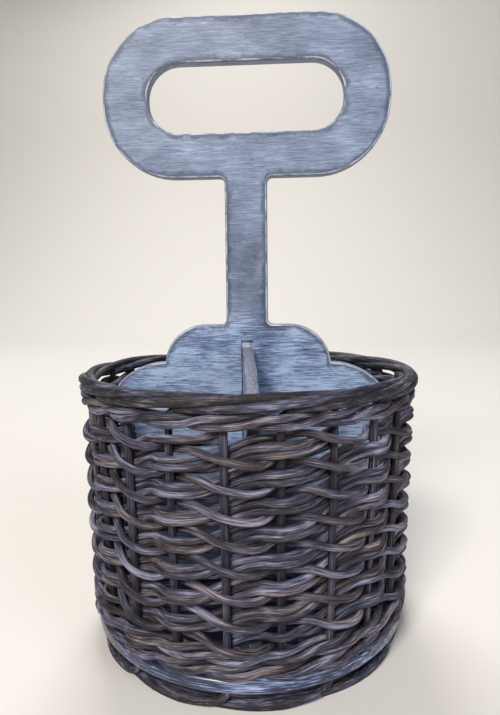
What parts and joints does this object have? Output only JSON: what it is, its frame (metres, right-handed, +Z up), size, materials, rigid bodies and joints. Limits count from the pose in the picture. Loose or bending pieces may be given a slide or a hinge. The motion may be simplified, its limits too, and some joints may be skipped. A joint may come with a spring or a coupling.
{
  "type": "cutlery holder",
  "caption": "Round woven wicker cutlery holder on a wooden disc, parted by crossed painted boards, with an upright handle board that ends in a ring to carry it by.",
  "frame": {"origin": "middle of the foot, on the surface that the holder stands on", "axes": "+Z up, X along the handle board, Y through its faces"},
  "size_m": [0.1596, 0.1596, 0.287],
  "materials": {
    "wicker": "stained, satin",
    "painted_board": "brushed whitewash over blue-grey stain",
    "stained_disc": "navy stain with pale brushed streaks",
    "screw": "zinc plated"
  },
  "bodies": {
    "root": {"stake_01": "wicker", "stake_02": "wicker", "stake_03": "wicker", "stake_04": "wicker", "stake_05": "wicker", "stake_06": "wicker", "stake_07": "wicker", "stake_08": "wicker", "stake_09": "wicker", "stake_10": "wicker", "stake_11": "wicker", "stake_12": "wicker", "stake_13": "wicker", "stake_14": "wicker", "stake_15": "wicker", "stake_16": "wicker", "stake_17": "wicker", "stake_18": "wicker", "stake_19": "wicker", "stake_20": "wicker", "stake_21": "wicker", "stake_22": "wicker", "weaver_01": "wicker", "weaver_02": "wicker", "weaver_03": "wicker", "weaver_04": "wicker", "weaver_05": "wicker", "weaver_06": "wicker", "weaver_07": "wicker", "weaver_08": "wicker", "weaver_09": "wicker", "weaver_10": "wicker", "weaver_11": "wicker", "weaver_12": "wicker", "weaver_13": "wicker", "weaver_14": "wicker", "weaver_15": "wicker", "weaver_16": "wicker", "weaver_17": "wicker", "weaver_18": "wicker", "weaver_19": "wicker", "weaver_20": "wicker", "weaver_21": "wicker", "weaver_22": "wicker", "weaver_23": "wicker", "weaver_24": "wicker", "foot_wale_rod_1": "wicker", "foot_wale_rod_2": "wicker", "foot_wale_rod_3": "wicker", "foot_wale_rod_4": "wicker", "foot_wale_rod_5": "wicker", "foot_wale_rod_6": "wicker", "top_wale_rod_1": "wicker", "top_wale_rod_2": "wicker", "top_wale_rod_3": "wicker", "handle_board": "painted_board", "cross_board": "painted_board", "base_disc": "stained_disc", "base_screws": "screw"}
  },
  "joints": []
}
